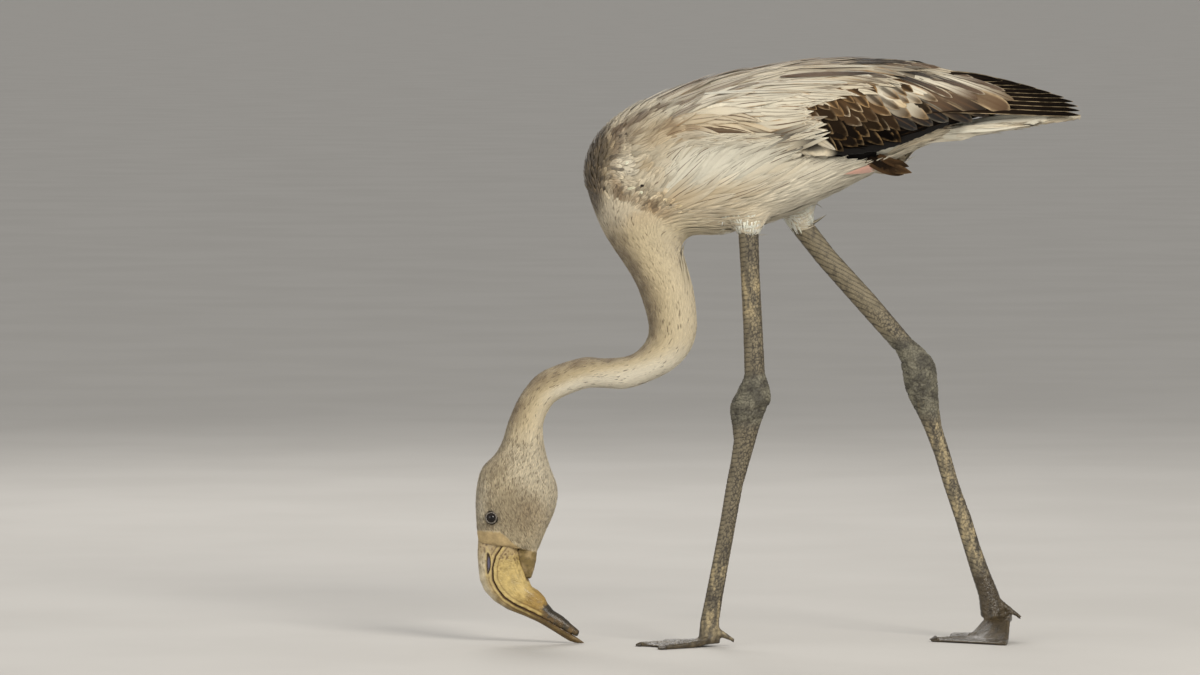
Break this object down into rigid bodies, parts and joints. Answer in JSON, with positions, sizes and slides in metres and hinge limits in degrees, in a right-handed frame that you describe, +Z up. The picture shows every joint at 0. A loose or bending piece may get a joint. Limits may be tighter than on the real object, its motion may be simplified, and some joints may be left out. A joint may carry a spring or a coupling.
{
  "type": "greater flamingo",
  "caption": "Life-size young greater flamingo, standing and feeding with its neck bent down and its bill tip to the ground; it rests on both feet and the bill.",
  "frame": {"origin": "on the floor, under the middle of the bird's overall box", "axes": "+Z up; the bird faces -X, its left side is towards -Y and its right side towards +Y"},
  "size_m": [0.6352, 0.1767, 0.6176],
  "materials": {
    "down": "short matt head and neck feathers, buff grey with fine grey-brown speckles",
    "body_plumage": "long cream-white body feathers with thin brown shaft lines",
    "wing_coverts": "scaly brown coverts with buff edges",
    "flight_feathers": "dark brown to black vanes with thin buff edges",
    "bare_skin": "bare olive-brown skin",
    "bill_horn": "muddy golden yellow horn with a dark tip, wet in places",
    "leg_scales": "dark grey scaled skin with patches of dried pale mud",
    "foot_skin": "wet dark olive-brown webbed skin",
    "eye": "near-black glossy eye with a thin pale grey ring"
  },
  "bodies": {
    "root": {"ankle_left": "leg_scales", "ankle_right": "leg_scales", "eye_left": "eye", "eye_right": "eye", "foot_left": "foot_skin", "foot_right": "foot_skin", "gular_skin": "bare_skin", "head": "down", "hind_toe_left": "foot_skin", "hind_toe_right": "foot_skin", "lower_bill": "bill_horn", "neck_1_root": "down", "neck_2_bulge": "down", "neck_3_bend": "down", "neck_4_run": "down", "neck_5_nape": "down", "primaries_left": "flight_feathers", "primaries_right": "flight_feathers", "shank_left": "leg_scales", "shank_right": "leg_scales", "tail": "body_plumage", "tarsus_left": "leg_scales", "tarsus_right": "leg_scales", "thigh_left": "body_plumage", "thigh_right": "body_plumage", "trunk": "body_plumage", "upper_bill": "bill_horn", "wing_left": "wing_coverts", "wing_right": "wing_coverts"}
  },
  "joints": []
}
